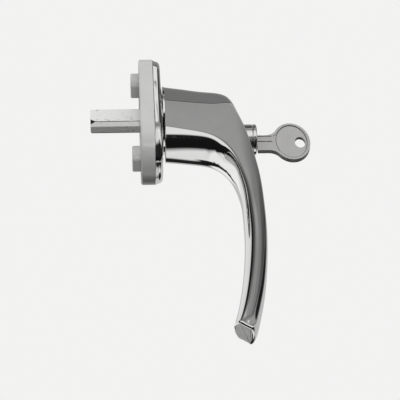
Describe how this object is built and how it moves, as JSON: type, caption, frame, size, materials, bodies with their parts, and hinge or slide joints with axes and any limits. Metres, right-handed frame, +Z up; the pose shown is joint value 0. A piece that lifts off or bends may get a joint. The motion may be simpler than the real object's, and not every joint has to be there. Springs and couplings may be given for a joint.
{
  "type": "locking window handle",
  "caption": "Locking window handle: curved chrome lever on an oval rosette, square spindle, push-in lock cylinder with key.",
  "frame": {"origin": "on the spindle axis, at the face of the base plate that sits against the window frame", "axes": "+Y into the window along the spindle, +Z up, the lever hangs down along -Z when locked"},
  "size_m": [0.0284, 0.0858, 0.141],
  "materials": {
    "base": "matt moulded plastic",
    "cover": "polished chrome plate",
    "lever": "polished chrome plate",
    "lock": "nickel plate",
    "spindle": "bright drawn steel",
    "steel": "zinc plated",
    "brass": "machined",
    "key": "nickel plate"
  },
  "bodies": {
    "rosette": {"base_plate": "base", "locking_disc": "steel", "click_ball_left": "steel", "click_ball_right": "steel", "click_spring_left": "steel", "click_spring_right": "steel"},
    "cover": {"cover_plate": "cover"},
    "handle": {"lever": "lever", "bearing_ring": "cover", "spindle": "spindle", "spindle_pin": "steel", "retaining_washer": "steel", "snap_ring": "steel"},
    "lock": {"lock_barrel": "lock", "lock_front_ring": "lock", "locking_bolt": "steel", "lock_spring": "steel"},
    "plug": {"lock_plug": "brass", "plug_clip": "steel", "wafer_1": "brass", "wafer_2": "brass", "wafer_3": "brass", "wafer_4": "brass", "wafer_5": "brass"},
    "key": {"key": "key"}
  },
  "joints": [
    {"name": "handle_turn", "type": "hinge", "parent": "rosette", "child": "handle", "pos_m": [0, 0, 0], "axis": [0, 1, 0], "range_deg": [0, 180]},
    {"name": "cover_turn", "type": "hinge", "parent": "rosette", "child": "cover", "pos_m": [0, 0, 0], "axis": [0, 1, 0], "range_deg": [0, 90]},
    {"name": "lock_push", "type": "slide", "parent": "handle", "child": "lock", "axis": [0, 1, 0], "range_m": [0, 0.0028], "stiffness_N_per_m": 400, "springref_m": -0.002, "deforming": ["lock_spring"]},
    {"name": "plug_turn", "type": "hinge", "parent": "lock", "child": "plug", "pos_m": [0, 0, -0.0118], "axis": [0, 1, 0], "range_deg": [0, 90]},
    {"name": "key_withdraw", "type": "slide", "parent": "plug", "child": "key", "axis": [0, -1, 0], "range_m": [0, 0.02]}
  ]
}
